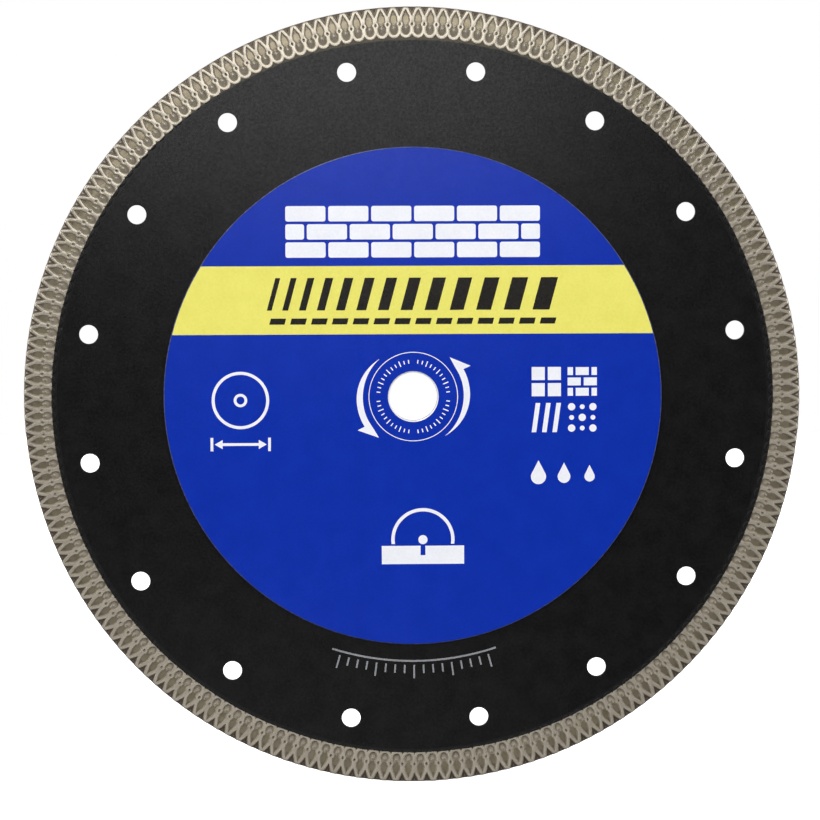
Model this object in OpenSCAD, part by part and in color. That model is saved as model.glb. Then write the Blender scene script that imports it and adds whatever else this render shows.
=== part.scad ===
// Continuous-rim mesh blade for wet cutting of tile and stone: a thin steel
// core, a sintered rim keyed onto its edge, a reinforcing plate brazed on each
// side of the hub, and a printed front face.
// The blade stands upright: its axis is Y, its front faces -Y, and the origin
// is the centre of the arbor bore, half-way through the core.

/* [Blade] */
// Outside diameter of the blade
blade_d = 254; // [244:1:264]
// Diameter of the arbor bore
bore_d = 15.875; // [12:0.125:22]
// Chamfer at each mouth of the bore
bore_chamfer = 0.3; // [0.1:0.05:0.4]

/* [Core] */
// Thickness of the steel core
core_t = 1.4; // [1.2:0.1:1.8]
// Number of cooling holes
cool_n = 16; // [8:4:24]
// Diameter of a cooling hole
cool_d = 6.2; // [4:0.1:8]
// Distance from the rim's inner edge in to the circle of cooling holes
cool_inset = 8.4; // [7:0.1:14]
// Turn of the holes against the print, in degrees
cool_turn = 0.15; // [0:0.05:2]
// How far the tongue on the core's edge reaches into the rim
tongue_h = 2; // [1.2:0.1:2]
// Thickness of the tongue
tongue_t = 0.8; // [0.6:0.1:0.9]
// Number of anchor notches in the tongue
key_n = 48; // [24:8:64]
// Diameter of an anchor notch
key_d = 1.8; // [1:0.1:2.2]

/* [Rim] */
// Radial height of the rim
rim_h = 10.75; // [10:0.25:12]
// How far the rim stands proud of the core on each side
rim_proud = 0.3; // [0.2:0.05:0.5]
// Number of mesh pitches round the rim
mesh_n = 192; // [176:4:200]
// Depth of the mesh pockets on each side
pocket_depth = 0.45; // [0.25:0.05:0.5]

/* [Hub] */
// Diameter of the reinforcing plates
hub_d = 163.1; // [156:0.1:170]
// Thickness of each reinforcing plate
hub_t = 0.7; // [0.5:0.05:1]
// Chamfer round the edge of each plate
hub_chamfer = 0.25; // [0.1:0.05:0.4]
// Thickness of the braze under each plate
braze_t = 0.05; // [0.03:0.01:0.1]

/* [Print] */
// Thickness of the printed coats
ink_t = 0.04; // [0.03:0.01:0.08]
// Lower edge of the yellow band above the axis
band_lo = 20.45; // [19:0.05:21]
// Upper edge of the yellow band above the axis
band_hi = 42.75; // [41.4:0.05:44]
// Outer radius of the white ring round the bore
ring_r = 14.65; // [14:0.05:16]
// Width of the white ring's line
ring_w = 0.25; // [0.2:0.05:1]
// Radius of the rotation arrows
arrow_r = 17.7; // [17.5:0.1:19]

/* [Hidden] */
$fn = 96;

blade_r = blade_d / 2;
bore_r = bore_d / 2;
core_r = blade_r - rim_h;               // the shoulder where the rim starts
tongue_r = core_r + tongue_h;
cool_r = core_r - cool_inset;
rim_t = core_t + 2 * rim_proud;
hub_r = hub_d / 2;
plate_z = core_t / 2 + braze_t;         // inner face of each plate
face_z = plate_z + hub_t;               // outer face of each plate
coat_r = hub_r - hub_chamfer - 0.05;
coat_in = bore_r + bore_chamfer + 0.1;

// Mesh of the rim, from the edge inwards
step = 360 / mesh_n;
pitch = 2 * PI * (blade_r - 4.7) / mesh_n;   // half-way down the mesh
floor_z = rim_t / 2 - pocket_depth;     // floor of the pockets
rim_land = 0.5;                         // flat step along the rim's inner edge

module upright() { rotate([90, 0, 0]) children(); }

// ---- outlines -------------------------------------------------------------

function on_circle(r, a) = [r * cos(a), r * sin(a)];
function at(p, c) = [p[0] + c[0], p[1] + c[1]];
function rounded(w, h, r, n = 3) = [
    for (q = [0:3], i = [0:n])
        let (sx = (q == 0 || q == 3) ? 1 : -1, sy = q < 2 ? 1 : -1)
        at(on_circle(r, q * 90 + i * 90 / n), [sx * (w / 2 - r), sy * (h / 2 - r)])
];
function slanted(w, h, k) = [[-w / 2 - k * h / 2, -h / 2], [w / 2 - k * h / 2, -h / 2],
                             [w / 2 + k * h / 2, h / 2], [-w / 2 + k * h / 2, h / 2]];
function drop(r, h, n = 16) = concat([[0, h]],
    [for (i = [0:n]) on_circle(r, 145 + i * 250 / n)]);

module ring2d(ro, ri) { difference() { circle(r = ro); circle(r = ri); } }

// Crescent that swells from a pointed tail and ends in a head barbed on its outer side
module turn_arrow(r, a0, a1, w, head_a, barb, n = 24) {
    function half(i) = max(0.05, w / 2 * sin(min(90, 130 * i / n)));
    function mid(i) = r - 1.15 * pow(1 - i / n, 2);
    function bend(i) = a0 + (a1 - a0) * i / n;
    polygon(concat(
        [for (i = [0:n]) on_circle(mid(i) + half(i), bend(i))],
        [on_circle(r + barb, a1 - 0.5), on_circle(r - 0.15, a1 + head_a)],
        [on_circle(r - w / 2 + 0.1, a1 + head_a * 0.45)],
        [for (i = [n:-1:0]) on_circle(mid(i) - half(i), bend(i))]));
}

// Courses of bricks laid in running bond, six to a course
module brickwork(w = 13.1, h = 5, gap = 0.9) {
    for (row = [-1:1]) {
        if (row != 0)
            for (i = [0:5]) translate([(i - 2.5) * (w + gap), row * (h + gap)])
                polygon(rounded(w, h, 0.7));
        else {
            for (i = [0:4]) translate([(i - 2) * (w + gap), 0]) polygon(rounded(w, h, 0.7));
            for (s = [-1, 1]) translate([s * (2.5 * (w + gap) + (w - gap) / 4 + gap / 2), 0])
                polygon(rounded((w - gap) / 2, h, 0.7));
        }
    }
}

// A disc with its bore, and a dimension line across it underneath
module size_mark(r = 9.4, w = 1) {
    ring2d(r, r - w);
    ring2d(2.2, 1.3);
    translate([0, -r - 5]) {
        square([2 * r - 5, 0.9], center = true);
        for (s = [-1, 1]) {
            translate([s * r, 0]) square([0.9, 4.4], center = true);
            translate([s * (r - 0.9), 0])
                polygon([[0, 0], [-s * 2.6, 1.5], [-s * 2.6, -1.5]]);
        }
    }
}

// Four plain swatches: tiles, bricks, stripes and speckles
module swatches(s = 9.6, gap = 2.2) {
    d = (s + gap) / 2;
    translate([-d, d]) for (x = [-1, 1], y = [-1, 1])
        translate([x * 2.65, y * 2.65]) square(4.3, center = true);
    translate([d, d]) for (y = [-1:1]) translate([0, y * 3.4])
        if (y == 0) for (x = [-1, 1]) translate([x * 2.65, 0]) square([4.3, 2.6], center = true);
        else for (x = [-1:1]) translate([x == 0 ? 0 : x * 3.925, 0])
            square([x == 0 ? 4.3 : 1.75, 2.6], center = true);
    translate([-d, -d]) for (i = [-1:1]) translate([i * 3.4, 0])
        polygon(slanted(1.5, s, 0.14));
    translate([d, -d]) for (x = [-1:1], y = [-1:1]) translate([x * 3.5, y * 3.5])
        circle(r = (x + y) % 2 == 0 ? 1.2 : 0.8);
}

// The edge of a disc cutting down into a slab
module cut_mark() {
    difference() { translate([0, -5]) square([27, 6], center = true); translate([0, -3]) square([1.6, 4.2], center = true); }
    difference() {
        ring2d(10.4, 9.3);
        translate([0, -13.4]) square([40, 24], center = true);
    }
    circle(r = 1.5);
}

module white_marks() {
    ring2d(ring_r, ring_r - ring_w);
    for (a = [0, 177]) rotate(a) turn_arrow(arrow_r, 132.5, 211.5, 2.05, 18.5, 3.6);
    for (i = [0:47]) if (i % 12 != 0) rotate(i * 7.5) translate([11.5, 0])
        square([i % 3 == 0 ? 1.9 : 1.2, 0.34], center = true);
    translate([0, 53.9]) brickwork();
    translate([-56.5, -1]) size_mark();
    translate([49.5, -1.2]) swatches();
    for (i = [0:2]) translate([41 + i * 8.4, -26.5]) polygon(drop(2.5 - i * 0.4, 5.4 - i * 0.8));
    translate([3, -47]) cut_mark();
}

module band_outline() {
    intersection() {
        circle(r = coat_r);
        translate([0, (band_lo + band_hi) / 2]) square([2 * hub_r, band_hi - band_lo], center = true);
    }
}

// Slanted bars that grow along the band, over a dashed rule
module dark_marks() {
    for (i = [0:12]) translate([-45.5 + i * 5 + i * i * 0.2, 33.6])
        polygon(slanted(1.6 + i * 0.33, 10.6, 0.27));
    for (i = [0:13]) translate([-44.2 + i * 6.8, 24.7]) polygon(slanted(5, 2, 0.27));
}

// ---- rim mesh -------------------------------------------------------------

// Pocket open to the blade's edge, between the two arms of a V
module edge_pocket() {
    polygon([[0, blade_r - 2.95], [0.4 * pitch, blade_r + 0.5], [-0.4 * pitch, blade_r + 0.5]]);
}

// Pocket between two stems of the mesh: pointed towards the edge, narrower below
module main_pocket() {
    polygon([[0, blade_r - 0.75], [-0.31 * pitch, blade_r - 3.9], [-0.24 * pitch, blade_r - 8.8],
             [0.24 * pitch, blade_r - 8.8], [0.31 * pitch, blade_r - 3.9]]);
}

module mesh_relief() {
    h = pocket_depth + 0.4;
    for (i = [0:mesh_n - 1]) rotate(i * step)
        translate([0, 0, floor_z]) linear_extrude(h) edge_pocket();
    for (i = [0:mesh_n - 1]) rotate((i + 0.5) * step)
        translate([0, 0, floor_z]) linear_extrude(h) main_pocket();
}

module tongue(t) {
    linear_extrude(t, center = true) difference() {
        circle(r = tongue_r);
        for (i = [0:key_n - 1]) rotate((i + 0.5) * 360 / key_n) translate([tongue_r, 0]) circle(r = key_d / 2, $fn = 48);
    }
}

// ---- pieces ---------------------------------------------------------------

module steel_core() {
    color("#26262a") upright() difference() {
        union() {
            cylinder(r = core_r, h = core_t, center = true);
            tongue(tongue_t);
        }
        cylinder(r = bore_r, h = 4 * core_t, center = true);
        for (i = [0:cool_n - 1]) rotate((i + 0.5) * 360 / cool_n + cool_turn) translate([cool_r, 0])
            cylinder(d = cool_d, h = 4 * core_t, center = true);
    }
}

module diamond_rim() {
    color("#c9bfae") upright() difference() {
        // ring, stepped down to the core's face along its inner edge
        rotate_extrude() polygon([[core_r, -core_t / 2], [core_r + rim_land, -core_t / 2], [core_r + rim_land, -rim_t / 2],
                                  [blade_r, -rim_t / 2], [blade_r, rim_t / 2],
                                  [core_r + rim_land, rim_t / 2], [core_r + rim_land, core_t / 2], [core_r, core_t / 2]]);
        tongue(tongue_t);
        mesh_relief();
        mirror([0, 0, 1]) rotate(step / 2) mesh_relief();
    }
}

module braze_film() {
    difference() {
        cylinder(r = hub_r - 0.6, h = braze_t);
        translate([0, 0, -1]) cylinder(r = bore_r, h = 2 + braze_t);
    }
}

module hub_plate() {
    rotate_extrude() polygon([[bore_r, 0], [hub_r, 0], [hub_r, hub_t - hub_chamfer], [hub_r - hub_chamfer, hub_t],
                              [bore_r + bore_chamfer, hub_t], [bore_r, hub_t - bore_chamfer]]);
}

module front_braze_film() { color("#b98d4f") upright() translate([0, 0, core_t / 2]) braze_film(); }
module rear_braze_film() { color("#b98d4f") upright() mirror([0, 0, 1]) translate([0, 0, core_t / 2]) braze_film(); }
module front_hub_plate() { color("#1b2f7d") upright() translate([0, 0, plate_z]) hub_plate(); }
module rear_hub_plate() { color("#232327") upright() mirror([0, 0, 1]) translate([0, 0, plate_z]) hub_plate(); }

module blue_ground() {
    color("#1a35a4") upright() translate([0, 0, face_z]) linear_extrude(ink_t) difference() {
        ring2d(coat_r, coat_in);
        translate([0, (band_lo + band_hi) / 2]) square([2 * blade_r, band_hi - band_lo], center = true);
        white_marks();
    }
}

module yellow_band() {
    color("#eee873") upright() translate([0, 0, face_z]) linear_extrude(ink_t) difference() {
        band_outline();
        dark_marks();
    }
}

module white_print() { color("#f0f2fa") upright() translate([0, 0, face_z]) linear_extrude(ink_t) white_marks(); }
module dark_print() { color("#23201c") upright() translate([0, 0, face_z]) linear_extrude(ink_t) dark_marks(); }

// Short graduations on the core, under the hub
module grey_print() {
    color("#8f9299") upright() translate([0, 0, core_t / 2]) linear_extrude(ink_t) {
        for (i = [-8:8]) rotate(i * 2) translate([0, -(i % 4 == 0 ? 90.6 : 89.8)])
            square([0.55, i % 4 == 0 ? 4.4 : 2.8], center = true);
        polygon(concat([for (i = [0:16]) on_circle(87.4, 252 + i * 36 / 16)],
                       [for (i = [16:-1:0]) on_circle(86.8, 252 + i * 36 / 16)]));
    }
}

steel_core();
diamond_rim();
front_braze_film();
rear_braze_film();
front_hub_plate();
rear_hub_plate();
blue_ground();
yellow_band();
white_print();
dark_print();
grey_print();
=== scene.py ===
import math
import bpy
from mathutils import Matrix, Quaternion, Vector, geometry, noise


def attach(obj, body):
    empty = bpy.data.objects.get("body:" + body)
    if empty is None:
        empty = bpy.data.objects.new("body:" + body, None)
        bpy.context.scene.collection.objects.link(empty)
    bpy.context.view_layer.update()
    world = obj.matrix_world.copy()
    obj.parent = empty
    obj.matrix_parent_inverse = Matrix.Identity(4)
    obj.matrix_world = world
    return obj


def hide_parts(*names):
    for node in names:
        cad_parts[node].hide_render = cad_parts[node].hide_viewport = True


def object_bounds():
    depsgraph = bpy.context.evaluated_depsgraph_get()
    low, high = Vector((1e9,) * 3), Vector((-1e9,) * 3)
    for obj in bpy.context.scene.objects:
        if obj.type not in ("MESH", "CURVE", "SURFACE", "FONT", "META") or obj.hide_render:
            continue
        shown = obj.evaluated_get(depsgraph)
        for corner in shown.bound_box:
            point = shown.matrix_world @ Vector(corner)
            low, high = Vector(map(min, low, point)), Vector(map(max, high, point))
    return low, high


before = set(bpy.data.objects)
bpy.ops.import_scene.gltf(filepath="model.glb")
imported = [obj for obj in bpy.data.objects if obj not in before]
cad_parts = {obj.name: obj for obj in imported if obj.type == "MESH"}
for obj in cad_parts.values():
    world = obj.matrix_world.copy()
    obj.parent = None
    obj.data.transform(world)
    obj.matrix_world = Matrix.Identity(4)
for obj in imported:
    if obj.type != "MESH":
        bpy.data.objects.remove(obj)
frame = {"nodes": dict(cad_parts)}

cad_lo, cad_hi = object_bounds()
MM = 0.001
NODE = frame["nodes"]

# ---------------------------------------------------------------- rim mesh
# One tile of the mesh is drawn in (x, r): x runs along the rim on a nominal
# pitch of 4 mm, r is the true radius in mm, z the height over the mid-plane.
TILES = 192
STEP = 2 * math.pi / TILES
PITCH = 4.0
HALF = PITCH / 2
R_OUT = 127.0
R_LIP = 126.93
R_IN = 116.25
Z_TOP = 1.0
Z_CORE = 0.70
Z_LIP = 0.07
EYE = (2.0, 121.3)
VERTEX = (2.0, 124.05)
ARM_END = 0.72


def unit(v):
    n = math.hypot(*v) or 1.0
    return (v[0] / n, v[1] / n)


def grow(loop, d, closed=True, limit=1.35):
    """Offsets a polyline to its right-hand side by d; sharp corners are limited."""
    out = []
    n = len(loop)
    for i, p in enumerate(loop):
        a = loop[i - 1] if closed or i > 0 else None
        b = loop[(i + 1) % n] if closed or i < n - 1 else None
        na = unit((p[1] - a[1], -(p[0] - a[0]))) if a else None
        nb = unit((b[1] - p[1], -(b[0] - p[0]))) if b else None
        if na is None:
            m, k = nb, 1.0
        elif nb is None:
            m, k = na, 1.0
        else:
            m = unit((na[0] + nb[0], na[1] + nb[1]))
            k = min(limit, 1.0 / max(0.2, m[0] * na[0] + m[1] * na[1]))
        out.append((p[0] + m[0] * d * k, p[1] + m[1] * d * k))
    return out


def lerp(a, b, t):
    return (a[0] + (b[0] - a[0]) * t, a[1] + (b[1] - a[1]) * t)


def arc(c, rad, a0, a1, n):
    return [(c[0] + rad * math.cos(math.radians(a0 + (a1 - a0) * k / (n - 1))),
             c[1] + rad * math.sin(math.radians(a0 + (a1 - a0) * k / (n - 1)))) for k in range(n)]


def pocket_outline():
    """The arched pocket between two ribs, from its apex down the right side."""
    apex, shoulder = (0.0, 126.15), (1.06, 123.75)
    right = [apex]
    right += [lerp(apex, shoulder, t) for t in (0.36, 0.55, 0.73, 0.88)]
    right += [shoulder, (1.12, 123.4), (1.16, 123.0), (1.17, 122.6)]
    right += arc(EYE, 1.16, 130, 232, 7)
    right += [(1.30, 120.1), (1.36, 119.75), (1.36, 119.4), (1.27, 118.95), (1.08, 118.52), (0.76, 118.16), (0.4, 117.97), (0.0, 117.92)]
    left = [(-x, r) for x, r in reversed(right[1:-1])]
    return right + left


def scallop(x):
    k = min(1.0, abs(x) / 2.03)
    return 116.75 + 1.75 * (1 - math.sqrt(1 - k * k))


def pocket_floor(r):
    """Flat under the arch, then falling away towards the core."""
    t = max(0.0, min(1.0, (121.6 - r) / 3.5))
    return 0.66 - 0.23 * t ** 0.9


class Tile:
    def __init__(self):
        self.v = []
        self.f = []

    def add(self, pts, z):
        base = len(self.v)
        for k, p in enumerate(pts):
            self.v.append((p[0], p[1], z(p) if callable(z) else z))
        return list(range(base, base + len(pts)))

    def strip(self, a, b, closed):
        n = len(a)
        for k in range(n if closed else n - 1):
            j = (k + 1) % n
            self.f.append((a[k], a[j], b[j], b[k]))

    def fill(self, loop, holes=(), inner=()):
        ids = list(loop)
        edges = [(k, (k + 1) % len(loop)) for k in range(len(loop))]
        rings = []
        for h in holes:
            base = len(ids)
            ids += list(h)
            edges += [(base + k, base + (k + 1) % len(h)) for k in range(len(h))]
            rings.append([self.v[i][:2] for i in h])
        ids += list(inner)
        pts = [Vector(self.v[i][:2]) for i in ids]
        face = [list(range(len(loop)))]
        vs, _, fs, orig, _, _ = geometry.delaunay_2d_cdt(pts, edges, face, 1, 1e-7)
        for f in fs:
            c = (sum(vs[i].x for i in f) / 3, sum(vs[i].y for i in f) / 3)
            if any(inside(c, r) for r in rings):
                continue
            self.f.append(tuple(ids[orig[i][0]] for i in f))


def inside(p, ring):
    hit = False
    for k in range(len(ring)):
        (x0, y0), (x1, y1) = ring[k - 1], ring[k]
        if (y0 > p[1]) != (y1 > p[1]) and p[0] < x0 + (p[1] - y0) * (x1 - x0) / (y1 - y0):
            hit = not hit
    return hit


def edge_line(d):
    """Flank of the open notch on the right, from its vertex at x = 2 to the lip, moved d into the notch."""
    vx, vr = VERTEX
    sl = (R_OUT - vr) / (vx - ARM_END)
    r0 = vr + d * math.hypot(1, sl)
    xs = vx - (R_LIP - r0) / sl
    return [lerp((vx, r0), (xs, R_LIP), t) for t in (0, 0.16, 0.36, 0.58, 0.8, 1.0)]


def notch_floor(r):
    return 0.54 - 0.07 * max(0.0, min(1.0, (r - 124.3) / 2.7))


ROUND = ((0.17, 0.0), (0.13, 0.005), (0.06, 0.045), (-0.05, 0.15), (-0.22, 1.0), (-0.34, 1.0))


def build_tile():
    t = Tile()
    # pocket
    rings = []
    nominal = pocket_outline()
    for d, drop in ROUND:
        z = Z_TOP - drop if drop < 0.5 else (lambda p: pocket_floor(p[1]))
        # the outline runs clockwise, so its right-hand side is the inside
        rings.append(t.add(grow(nominal, -d), z))
    for a, b in zip(rings, rings[1:]):
        t.strip(a, b, True)
    half = [(0.0, 121.2), (0.24, 120.75), (0.44, 120.3), (0.5, 119.95), (0.3, 119.68), (0.0, 119.6)]
    hump = half + [(-x, r) for x, r in reversed(half[1:-1])]
    low = t.add(hump, lambda p: pocket_floor(p[1]) + 0.01)
    crest = t.add([(x * 0.8, 120.15 + (r - 120.15) * 0.8) for x, r in hump], lambda p: 0.70)
    top = t.add([(x * 0.6, 120.15 + (r - 120.15) * 0.6) for x, r in hump], lambda p: 0.72)
    t.strip(low, crest, True)
    t.fill(rings[-1], holes=[low])
    t.strip(crest, top, True)
    t.f.append(tuple(top))
    # open notches at both sides
    flank = {}
    lip_x = []
    for side in (1, -1):
        rows = []
        for d, drop in ROUND:
            pts = [(side * x, r) for x, r in edge_line(-d)]
            if drop < 0.5:
                z = (lambda dr: lambda p: Z_TOP - dr)(drop)
            else:
                z = lambda p: notch_floor(p[1])
            rows.append(t.add(pts, z))
        for a, b in zip(rows, rows[1:]):
            t.strip(a, b, False)
        flank[side] = rows
        lip_x.append([abs(t.v[r[-1]][0]) for r in rows])
    xs = lip_x[0]                     # lip positions of the rows, |x|
    mirror = [HALF - x for x in xs]   # where the other face has its own
    floor_x = sorted(x for x in mirror if x > xs[-1] + 1e-6)
    lip = {}
    for side in (1, -1):
        rows = flank[side]
        mid = t.add([(side * x, R_LIP) for x in floor_x], lambda p: notch_floor(p[1]))
        end = t.add([(side * HALF, R_LIP)], lambda p: notch_floor(p[1]))
        t.fill(rows[-1] + mid + end)
        lip[side] = [r[-1] for r in rows] + mid + end
    peak = t.add([(0.0, R_LIP)], Z_TOP)
    # eyes at both sides, as half rings on the tile's edge
    eye = {}
    for side in (1, -1):
        rows = []
        for d, drop in ((0.14, 0.0), (0.105, 0.005), (0.045, 0.06), (-0.03, 0.24), (-0.12, 0.36)):
            pts = []
            for k in range(8):
                a = math.radians(-90 + 180 * k / 7)
                pts.append((side * (HALF - (0.3 + d) * math.cos(a)), EYE[1] + (0.45 + d) * math.sin(a)))
            pts = [(side * HALF, p[1]) if k in (0, len(pts) - 1) else p for k, p in enumerate(pts)]
            rows.append(t.add(pts, Z_TOP - drop))
        for a, b in zip(rows, rows[1:]):
            t.strip(a, b, False)
        c = t.add([(side * HALF, EYE[1])], Z_TOP - 0.38)
        for k in range(len(rows[-1]) - 1):
            t.f.append((rows[-1][k], rows[-1][k + 1], c[0]))
        eye[side] = rows[0]
    # scallops towards the core
    sx = [-HALF + HALF * k / 7 for k in range(15)]
    foot = []
    nominal = [(x, scallop(x)) for x in sx]
    for d, z in ((0.19, Z_TOP), (0.15, Z_TOP - 0.005), (0.09, Z_TOP - 0.045), (0.0, Z_TOP - 0.13), (-0.08, Z_CORE)):
        pts = grow(nominal, -d, closed=False)
        pts[0] = (-HALF, nominal[0][1] + d * 1.1)
        pts[-1] = (HALF, nominal[-1][1] + d * 1.1)
        foot.append(t.add(pts, z))
    for a, b in zip(foot, foot[1:]):
        t.strip(a, b, False)
    # rib tops
    loop = list(foot[0])
    loop += eye[1]
    loop += flank[1][0]
    loop += peak
    loop += list(reversed(flank[-1][0]))
    loop += list(reversed(eye[-1]))
    t.fill(loop, holes=[rings[0]])
    # land down to the core
    land = t.add([(x, R_IN) for x in (-HALF, -HALF / 2, 0.0, HALF / 2, HALF)], Z_CORE)
    t.fill(list(reversed(foot[-1])) + land)
    # lip round the outside
    row = list(reversed(lip[-1])) + peak + lip[1]
    low = t.add([(t.v[i][0], R_OUT) for i in row], 0.0)
    for a, b in zip(row, low):
        t.v[b] = (t.v[b][0], R_OUT, t.v[a][2] - Z_LIP)
    t.strip(row, low, False)
    return t, low, land


def rim():
    tile, low, land = build_tile()
    verts, faces = [], []
    outer = {}
    inner = {}

    def place(x, r, z, i, face):
        a = (i + 0.5 + x / PITCH + (0.5 if face < 0 else 0.0)) * STEP
        if z > Z_CORE + 0.001 or r > 119.2:
            p = Vector((r * math.sin(a), face * 7.0, r * math.cos(a)))
            fade = min(1.0, max(0.0, (r - 116.8) / 1.0))
            z += fade * (0.03 * noise.noise(p * 0.55) + 0.012 * noise.noise(p * 1.7 + Vector((9, 4, 1))))
            if r < 126.5:
                r += fade * 0.08 * noise.noise(p * 0.9 + Vector((3, 8, 5)))
                a += fade * 0.08 * noise.noise(p * 0.9 + Vector((7, 1, 2))) / 122.0
        return (-r * math.sin(a) * MM, -face * z * MM, r * math.cos(a) * MM)

    index = {}

    def vid(co):
        k = (round(co[0] * 2e6), round(co[1] * 2e6), round(co[2] * 2e6))
        if k not in index:
            index[k] = len(verts)
            verts.append(co)
        return index[k]

    rims = {1: [], -1: []}
    bores = {1: [], -1: []}
    for face in (1, -1):
        for i in range(TILES):
            ids = [vid(place(x, r, z, i, face)) for x, r, z in tile.v]
            for f in tile.f:
                g = []
                for k in f:
                    if not g or (ids[k] != g[-1]):
                        g.append(ids[k])
                if len(g) > 2 and g[0] == g[-1]:
                    g.pop()
                if len(set(g)) > 2:
                    faces.append(tuple(g))
            rims[face].append((i, [(tile.v[k][0], ids[k]) for k in low]))
            bores[face].append((i, [(tile.v[k][0], ids[k]) for k in land]))

    def around(store, face):
        out = {}
        for i, row in store[face]:
            for x, k in row:
                out[round((i + 0.5 + x / PITCH + (0.5 if face < 0 else 0.0)) % TILES, 4)] = k
        return [out[k] for k in sorted(out)], sorted(out)

    def bridge(store):
        fa, ka = around(store, 1)
        fb, kb = around(store, -1)
        # both rows go round the same circle; walk them together
        na, nb = len(fa), len(fb)
        i = j = 0
        ka = ka + [ka[0] + TILES]
        kb = kb + [kb[0] + TILES]
        while i < na or j < nb:
            a0, b0 = fa[i % na], fb[j % nb]
            if i < na and j < nb and abs(ka[i + 1] - kb[j + 1]) < 1e-3:
                faces.append((a0, fa[(i + 1) % na], fb[(j + 1) % nb], b0))
                i += 1
                j += 1
            elif j >= nb or (i < na and ka[i + 1] < kb[j + 1]):
                faces.append((a0, fa[(i + 1) % na], b0))
                i += 1
            else:
                faces.append((a0, fb[(j + 1) % nb], b0))
                j += 1

    bridge(rims)
    bridge(bores)
    me = bpy.data.meshes.new("diamond_rim_mesh")
    me.from_pydata(verts, [], faces)
    me.validate()
    import bmesh
    bm = bmesh.new()
    bm.from_mesh(me)
    bmesh.ops.recalc_face_normals(bm, faces=bm.faces)
    for f in bm.faces:
        f.smooth = True
    bm.to_mesh(me)
    open_edges = sum(1 for e in bm.edges if len(e.link_faces) != 2)
    print("rim: %d vertices, %d faces, %d open edges" % (len(bm.verts), len(bm.faces), open_edges))
    bm.free()
    me.set_sharp_from_angle(angle=math.radians(58))
    ob = bpy.data.objects.new("diamond_rim_mesh", me)
    bpy.context.scene.collection.objects.link(ob)
    return ob


# ---------------------------------------------------------------- materials
class Mat:
    def __init__(self, name):
        self.m = bpy.data.materials.new(name)
        self.m.use_nodes = True
        self.t = self.m.node_tree
        self.n = self.t.nodes
        self.b = self.n["Principled BSDF"]
        self.co = self.n.new("ShaderNodeTexCoord").outputs["Object"]

    def link(self, a, b):
        self.t.links.new(a, b)

    def noise(self, scale, detail=2.0, rough=0.5, co=None):
        x = self.n.new("ShaderNodeTexNoise")
        x.inputs["Scale"].default_value = scale
        x.inputs["Detail"].default_value = detail
        x.inputs["Roughness"].default_value = rough
        self.link(co or self.co, x.inputs["Vector"])
        return x.outputs["Fac"]

    def voronoi(self, scale, out="Distance"):
        x = self.n.new("ShaderNodeTexVoronoi")
        x.inputs["Scale"].default_value = scale
        self.link(self.co, x.inputs["Vector"])
        return x.outputs[out]

    def remap(self, v, a, b, c, d):
        x = self.n.new("ShaderNodeMapRange")
        self.link(v, x.inputs["Value"])
        for k, val in zip(("From Min", "From Max", "To Min", "To Max"), (a, b, c, d)):
            x.inputs[k].default_value = val
        return x.outputs["Result"]

    def ramp(self, v, *stops):
        x = self.n.new("ShaderNodeValToRGB")
        e = x.color_ramp.elements
        while len(e) < len(stops):
            e.new(0.5)
        for el, (p, c) in zip(e, stops):
            el.position = p
            el.color = (*c, 1.0)
        self.link(v, x.inputs["Fac"])
        return x.outputs["Color"]

    def mix(self, f, a, b):
        x = self.n.new("ShaderNodeMix")
        x.data_type = "RGBA"
        for s, val in ((x.inputs["Factor"], f), (x.inputs[6], a), (x.inputs[7], b)):
            if isinstance(val, bpy.types.NodeSocket):
                self.link(val, s)
            elif isinstance(val, tuple):
                s.default_value = (*val, 1.0)
            else:
                s.default_value = val
        return x.outputs[2]

    def math(self, op, a, b=None, c=None):
        x = self.n.new("ShaderNodeMath")
        x.operation = op
        for k, val in enumerate((a, b, c)):
            if val is None:
                continue
            if isinstance(val, bpy.types.NodeSocket):
                self.link(val, x.inputs[k])
            else:
                x.inputs[k].default_value = val
        return x.outputs[0]

    def bump(self, h, strength, distance, after=None):
        x = self.n.new("ShaderNodeBump")
        x.inputs["Strength"].default_value = strength
        x.inputs["Distance"].default_value = distance
        self.link(h, x.inputs["Height"])
        if after is not None:
            self.link(after, x.inputs["Normal"])
        return x.outputs["Normal"]

    def use(self, **kw):
        names = {"color": "Base Color", "rough": "Roughness", "metal": "Metallic", "normal": "Normal",
                 "spec": "Specular IOR Level", "coat": "Coat Weight", "coat_rough": "Coat Roughness"}
        for k, val in kw.items():
            s = self.b.inputs[names[k]]
            if isinstance(val, bpy.types.NodeSocket):
                self.link(val, s)
            elif isinstance(val, tuple):
                s.default_value = (*val, 1.0)
            else:
                s.default_value = val
        return self.m


def satin(name, dark, light, rough=(0.172, 0.248), grain=1600.0):
    """Printed film: fine grain in the colour, orange peel in the gloss."""
    m = Mat(name)
    g = m.noise(grain, 3.0, 0.6)
    big = m.noise(140.0, 3.0, 0.55)
    both = m.math("MULTIPLY_ADD", big, 0.45, m.math("MULTIPLY", g, 0.55))
    col = m.ramp(both, (0.38, dark), (0.62, light))
    n = m.bump(m.noise(1000.0, 2.0, 0.5), 0.3, 0.00002)
    n = m.bump(m.noise(2400.0, 3.0, 0.65), 0.5, 0.00001, n)
    r = m.remap(m.noise(1300.0, 4.0, 0.65), 0.36, 0.64, rough[0], rough[1])
    gloss = m.remap(m.noise(1100.0, 3.0, 0.6), 0.36, 0.64, 0.40, 0.60)
    return m.use(color=col, rough=r, spec=gloss, normal=n)


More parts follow.
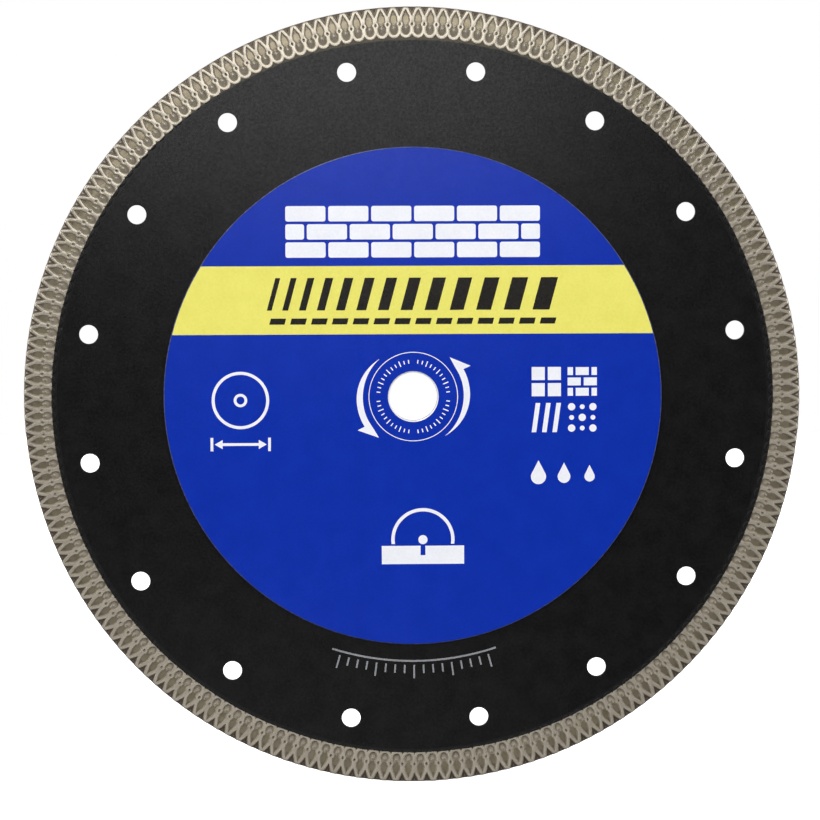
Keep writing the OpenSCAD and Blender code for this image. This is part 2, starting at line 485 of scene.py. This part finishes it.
def paint_edge(m, dx, dz, wobble, wide=1.0):
    """Distance from a point near the axis, in metres, with a ragged edge."""
    where = m.n.new("ShaderNodeMapping")
    where.inputs["Location"].default_value = (-dx, 0.0, -dz)
    where.inputs["Scale"].default_value = (wide, 0.0, 1.0)
    m.link(m.co, where.inputs["Vector"])
    ln = m.n.new("ShaderNodeVectorMath")
    ln.operation = "LENGTH"
    m.link(where.outputs[0], ln.inputs[0])
    return m.math("MULTIPLY_ADD", m.math("SUBTRACT", m.noise(520.0, 3.0, 0.6), 0.5), wobble, ln.outputs["Value"])


# brown of the strip shown towards the top of the rim and core
TOP_STRIP_BROWN = (0.066, 0.057, 0.036)


def rim_material():
    m = Mat("rim_sinter")
    sep = m.n.new("ShaderNodeSeparateXYZ")
    m.link(m.co, sep.inputs[0])
    depth = m.math("ABSOLUTE", sep.outputs["Y"])
    geo = m.n.new("ShaderNodeNewGeometry")
    turn = m.n.new("ShaderNodeSeparateXYZ")
    m.link(geo.outputs["Normal"], turn.inputs[0])
    flat = m.remap(m.math("ABSOLUTE", turn.outputs["Y"]), 0.935, 0.988, 0.0, 1.0)
    steep = m.remap(flat, 0.0, 1.0, 1.0, 0.0)
    radius = paint_edge(m, 0.0, 0.0, 0.0002)
    axis = paint_edge(m, 0.0001, 0.0, 0.0005, 0.9935)
    height = m.remap(depth, 0.00074, 0.00094, 0.0, 1.0)
    lobe = m.math("MULTIPLY", m.remap(radius, 0.1198, 0.1212, 1.0, 0.0), m.remap(depth, 0.00062, 0.00070, 1.0, 0.0))
    notch = m.math("MULTIPLY", m.remap(depth, 0.00058, 0.00078, 1.0, 0.0), m.remap(radius, 0.1240, 0.1243, 0.0, 1.0))
    lip = m.remap(radius, 0.1265, 0.1268, 0.0, 1.0)
    grit = m.noise(3600.0, 3.0, 0.65)
    blot = m.noise(260.0, 4.0, 0.6)
    tint = m.noise(75.0, 2.0, 0.5)
    # floors of the pockets: olive under the arches, duller in the lobes, dark in the notches as painted shade
    low = m.mix(m.remap(blot, 0.35, 0.65, 0.0, 1.0), (0.365, 0.312, 0.205), (0.50, 0.432, 0.300))
    low = m.mix(m.remap(tint, 0.4, 0.6, 0.0, 0.45), low, (0.42, 0.35, 0.265))
    low = m.mix(lobe, low, m.mix(m.remap(blot, 0.35, 0.65, 0.0, 1.0), (0.172, 0.147, 0.106), (0.242, 0.210, 0.156)))
    # painted highlight: the knob in the lobes gets a light colour for the light catching its top
    knob_highlight = m.math("MULTIPLY", m.remap(radius, 0.1206, 0.1212, 1.0, 0.0), m.remap(depth, 0.00062, 0.00070, 0.0, 1.0))
    low = m.mix(knob_highlight, low, (0.58, 0.52, 0.43))
    # painted shade: the deep notch floors get a dark colour for the shade that falls in them
    low = m.mix(notch, low, (0.225, 0.185, 0.142))
    high = m.mix(m.remap(grit, 0.3, 0.7, 0.0, 1.0), (0.735, 0.660, 0.530), (0.90, 0.815, 0.675))
    high = m.mix(m.remap(blot, 0.45, 0.62, 0.0, 0.4), high, (0.570, 0.498, 0.382))
    col = m.mix(height, low, high)
    crystals = m.remap(m.voronoi(1500.0), 0.0, 0.28, 1.0, 0.0)
    speck = m.math("MULTIPLY", crystals, m.remap(grit, 0.5, 0.62, 0.0, 0.4))
    col = m.mix(speck, col, (0.88, 0.84, 0.76))
    # the flanks are rough and dull; in the notches and at the outer edge their colour is darkened as painted shade
    side = m.mix(m.remap(blot, 0.35, 0.65, 0.0, 1.0), (0.156, 0.131, 0.095), (0.224, 0.193, 0.145))
    side = m.mix(m.math("MAXIMUM", m.math("MULTIPLY", notch, 0.8), m.math("MULTIPLY", lip, 0.6)), side, (0.055, 0.043, 0.032))
    side = m.mix(m.remap(radius, 0.1198, 0.1212, 0.8, 0.0), side, (0.270, 0.235, 0.180))
    col = m.mix(flat, side, col)
    # painted shade: the floors along the outer edge are darkened
    edge = m.math("MULTIPLY", lip, m.remap(height, 0.0, 1.0, 1.0, 0.0))
    col = m.mix(m.math("MULTIPLY", edge, 0.7), col, (0.055, 0.043, 0.032))
    # sprayed paint from the core runs over the inner edge of the rim, but not at the top,
    # where a brown strip is shown instead
    top = m.remap(paint_edge(m, 0.0, -0.0045, 0.0010), 0.12050, 0.12090, 0.0, 1.0)
    foot = m.math("MULTIPLY", m.remap(radius, 0.1176, 0.1184, 1.0, 0.0), m.remap(depth, 0.00074, 0.00084, 1.0, 0.0))
    col = m.mix(foot, col, TOP_STRIP_BROWN)
    rim_shown = m.math("MAXIMUM", m.remap(axis, 0.11730, 0.11760, 0.0, 1.0), top)
    col = m.mix(rim_shown, m.mix(blot, (0.0095, 0.0091, 0.0090), (0.0155, 0.0148, 0.0144)), col)
    shine = m.math("MULTIPLY", flat, m.remap(lobe, 0.0, 1.0, 1.0, 0.15))
    shine = m.math("MULTIPLY", shine, m.math("SUBTRACT", m.remap(height, 0.0, 1.0, 0.72, 0.655), m.math("MULTIPLY", edge, 0.5)))
    metal = m.math("MULTIPLY", m.math("MULTIPLY", rim_shown, shine), m.remap(foot, 0.0, 1.0, 1.0, 0.0))
    dull = m.math("MAXIMUM", steep, m.math("MULTIPLY", lobe, rim_shown))
    rough = m.math("MULTIPLY_ADD", dull, 0.35, m.remap(grit, 0.3, 0.7, 0.165, 0.225))
    n = m.bump(m.noise(1400.0, 4.0, 0.65), 0.4, 0.000009)
    n = m.bump(grit, 0.4, 0.000005, n)
    dim = m.math("MULTIPLY", steep, m.remap(rim_shown, 0.0, 1.0, 1.0, 0.0))
    return m.use(color=col, rough=rough, metal=metal, spec=m.remap(dim, 0.0, 1.0, 0.5, 0.12), normal=n)


def core_material():
    """Satin black paint; towards the rim at the top it turns to a brown strip."""
    m = Mat("core_paint")
    g = m.noise(1500.0, 3.0, 0.6)
    big = m.noise(140.0, 3.0, 0.55)
    both = m.math("MULTIPLY_ADD", big, 0.45, m.math("MULTIPLY", g, 0.55))
    col = m.ramp(both, (0.40, (0.0046, 0.0046, 0.0048)), (0.60, (0.0092, 0.0092, 0.0096)))
    # a brown strip near the rim, towards the top and on the front only
    top_strip = m.remap(paint_edge(m, 0.0, -0.0045, 0.0010), 0.12040, 0.12090, 0.0, 0.75)
    front = m.n.new("ShaderNodeSeparateXYZ")
    m.link(m.co, front.inputs[0])
    top_strip = m.math("MULTIPLY", top_strip, m.remap(front.outputs["Y"], -0.0005, 0.0, 1.0, 0.0))
    col = m.mix(top_strip, col, TOP_STRIP_BROWN)
    n = m.bump(m.noise(1000.0, 2.0, 0.5), 0.3, 0.00002)
    n = m.bump(m.noise(2400.0, 3.0, 0.65), 0.5, 0.00001, n)
    r = m.remap(m.noise(1300.0, 4.0, 0.65), 0.36, 0.64, 0.165, 0.24)
    gloss = m.remap(m.noise(1100.0, 3.0, 0.6), 0.36, 0.64, 0.40, 0.60)
    return m.use(color=col, rough=r, spec=gloss, normal=n)


def plate_edge():
    """Blue plate: only its worn, turned edges are in sight, bright round the bore."""
    m = Mat("plate_blue")
    wear = m.noise(900.0, 3.0, 0.6)
    col = m.ramp(wear, (0.3, (0.02, 0.035, 0.16)), (0.7, (0.10, 0.11, 0.19)))
    bore = m.remap(paint_edge(m, 0.0, 0.0, 0.00002), 0.00830, 0.00838, 1.0, 0.0)
    col = m.mix(bore, col, m.mix(wear, (0.80, 0.80, 0.80), (0.90, 0.90, 0.90)))
    n = m.bump(m.noise(2600.0, 2.0, 0.5), 0.4, 0.00002)
    return m.use(color=col, rough=m.remap(wear, 0.3, 0.7, 0.3, 0.45), metal=0.15, normal=n)


def braze():
    m = Mat("braze")
    g = m.noise(1800.0, 3.0, 0.6)
    return m.use(color=m.ramp(g, (0.3, (0.36, 0.23, 0.09)), (0.7, (0.56, 0.38, 0.17))),
                 rough=m.remap(g, 0.3, 0.7, 0.3, 0.5), metal=0.9, normal=m.bump(g, 0.4, 0.00002))


paint = core_material()
looks = {
    "steel_core": paint,
    "rear_hub_plate": paint,
    "front_braze_film": braze(),
    "front_hub_plate": plate_edge(),
    "blue_ground": satin("ink_blue", (0.0014, 0.0252, 0.365), (0.0034, 0.0306, 0.412)),
    "yellow_band": satin("ink_yellow", (0.81, 0.755, 0.145), (0.865, 0.81, 0.175)),
    "white_print": satin("ink_white", (0.85, 0.865, 0.92), (0.91, 0.925, 0.975)),
    "dark_print": satin("ink_dark", (0.013, 0.012, 0.010), (0.020, 0.018, 0.015)),
    "grey_print": satin("ink_grey", (0.24, 0.245, 0.265), (0.31, 0.315, 0.335)),
}
looks["rear_braze_film"] = looks["front_braze_film"]


def node_object(name):
    o = NODE[name] if isinstance(NODE, dict) else None
    return o if isinstance(o, bpy.types.Object) else bpy.data.objects[name]


for name, look in looks.items():
    ob = node_object(name)
    if not ob.material_slots:
        ob.data.materials.append(look)
    for s in ob.material_slots:
        s.material = look

rim_ob = rim()
rim_ob.data.materials.append(rim_material())
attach(rim_ob, "root")
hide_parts("diamond_rim")

# ---------------------------------------------------------------- stage
me = bpy.data.meshes.new("floor")
ring = [(1.9 * math.cos(2 * math.pi * k / 96), 1.9 * math.sin(2 * math.pi * k / 96), 0.0) for k in range(96)]
me.from_pydata(ring, [], [tuple(range(96))])
floor = bpy.data.objects.new("floor", me)
floor.location.z = cad_lo.z - 0.00002
bpy.context.scene.collection.objects.link(floor)
fm = Mat("floor_pale")
g = fm.noise(30.0, 2.0)
fm.use(color=fm.ramp(g, (0.3, (0.90, 0.90, 0.90)), (0.7, (0.93, 0.93, 0.93))), rough=0.85, spec=0.1)
fm.b.inputs["Emission Color"].default_value = (1, 1, 1, 1)
fm.b.inputs["Emission Strength"].default_value = 0.75
me.materials.append(fm.m)
floor.visible_glossy = False
floor.visible_diffuse = False

scene = bpy.context.scene
scene.view_settings.view_transform = "Standard"
scene.view_settings.look = "None"
scene.view_settings.exposure = 0.0
scene.view_settings.gamma = 1.0

w = bpy.data.worlds.new("studio")
scene.world = w
w.use_nodes = True
nt = w.node_tree
nt.nodes.clear()
out = nt.nodes.new("ShaderNodeOutputWorld")
both = nt.nodes.new("ShaderNodeMixShader")
lit = nt.nodes.new("ShaderNodeBackground")
seen = nt.nodes.new("ShaderNodeBackground")
path = nt.nodes.new("ShaderNodeLightPath")
lit.inputs["Color"].default_value = (0.97, 0.98, 1.0, 1.0)
# white room, dark only behind the camera
way = nt.nodes.new("ShaderNodeTexCoord")
split = nt.nodes.new("ShaderNodeSeparateXYZ")
room = nt.nodes.new("ShaderNodeMapRange")
room.interpolation_type = "SMOOTHSTEP"
for k, val in zip(("From Min", "From Max", "To Min", "To Max"), (-0.85, -0.30, 0.02, 0.40)):
    room.inputs[k].default_value = val
nt.links.new(way.outputs["Generated"], split.inputs[0])
nt.links.new(split.outputs["Y"], room.inputs["Value"])
nt.links.new(room.outputs["Result"], lit.inputs["Strength"])
seen.inputs["Color"].default_value = (1, 1, 1, 1)
seen.inputs["Strength"].default_value = 1.0
nt.links.new(path.outputs["Is Camera Ray"], both.inputs[0])
nt.links.new(lit.outputs[0], both.inputs[1])
nt.links.new(seen.outputs[0], both.inputs[2])
nt.links.new(both.outputs[0], out.inputs[0])


def softbox(name, at, to, size, power):
    l = bpy.data.lights.new(name, "AREA")
    l.shape = "RECTANGLE"
    l.size, l.size_y = size
    l.energy = power
    o = bpy.data.objects.new(name, l)
    o.location = at
    o.rotation_euler = (Vector(to) - Vector(at)).to_track_quat("-Z", "Y").to_euler()
    scene.collection.objects.link(o)
    return o


softbox("soft_left", (-1.55, -1.35, 0.75), (0, 0, 0), (1.5, 1.7), 40.5)
softbox("soft_right", (1.65, -1.30, 0.55), (0, 0, 0), (1.5, 1.7), 32.5)
softbox("soft_sheen", (-0.032, -1.54, 0.304), (0, 0, 0.03), (0.44, 0.39), 0.81)
softbox("soft_low", (-0.1, -1.54, -0.40), (0, 0, 0), (0.5, 0.3), 0.09)
softbox("soft_above", (-0.45, -0.35, 1.45), (0, 0, 0), (0.8, 0.6), 6.0)
softbox("soft_rear_left", (-1.2, 1.5, 0.9), (0, 0, 0), (0.9, 0.9), 14.0)
softbox("soft_rear_right", (1.4, 1.4, 0.8), (0, 0, 0), (0.9, 0.9), 14.0)

cam = bpy.data.objects.new("camera", bpy.data.cameras.new("camera"))
scene.collection.objects.link(cam)
cam.data.sensor_fit = "HORIZONTAL"
cam.data.sensor_width = 36.0
cam.data.lens = 3051.0 * 36.0 / 820.0
cam.data.clip_start = 0.01
cam.location = (-0.0335, -0.998, 0.0488)
aim = Vector((-0.00105, 0.0, -0.00447))
tilt = Quaternion((0, 0, 1), math.radians(-0.2))
cam.rotation_euler = ((aim - cam.location).to_track_quat("-Z", "Y") @ tilt).to_euler()
cam.data.dof.use_dof = False
scene.camera = cam
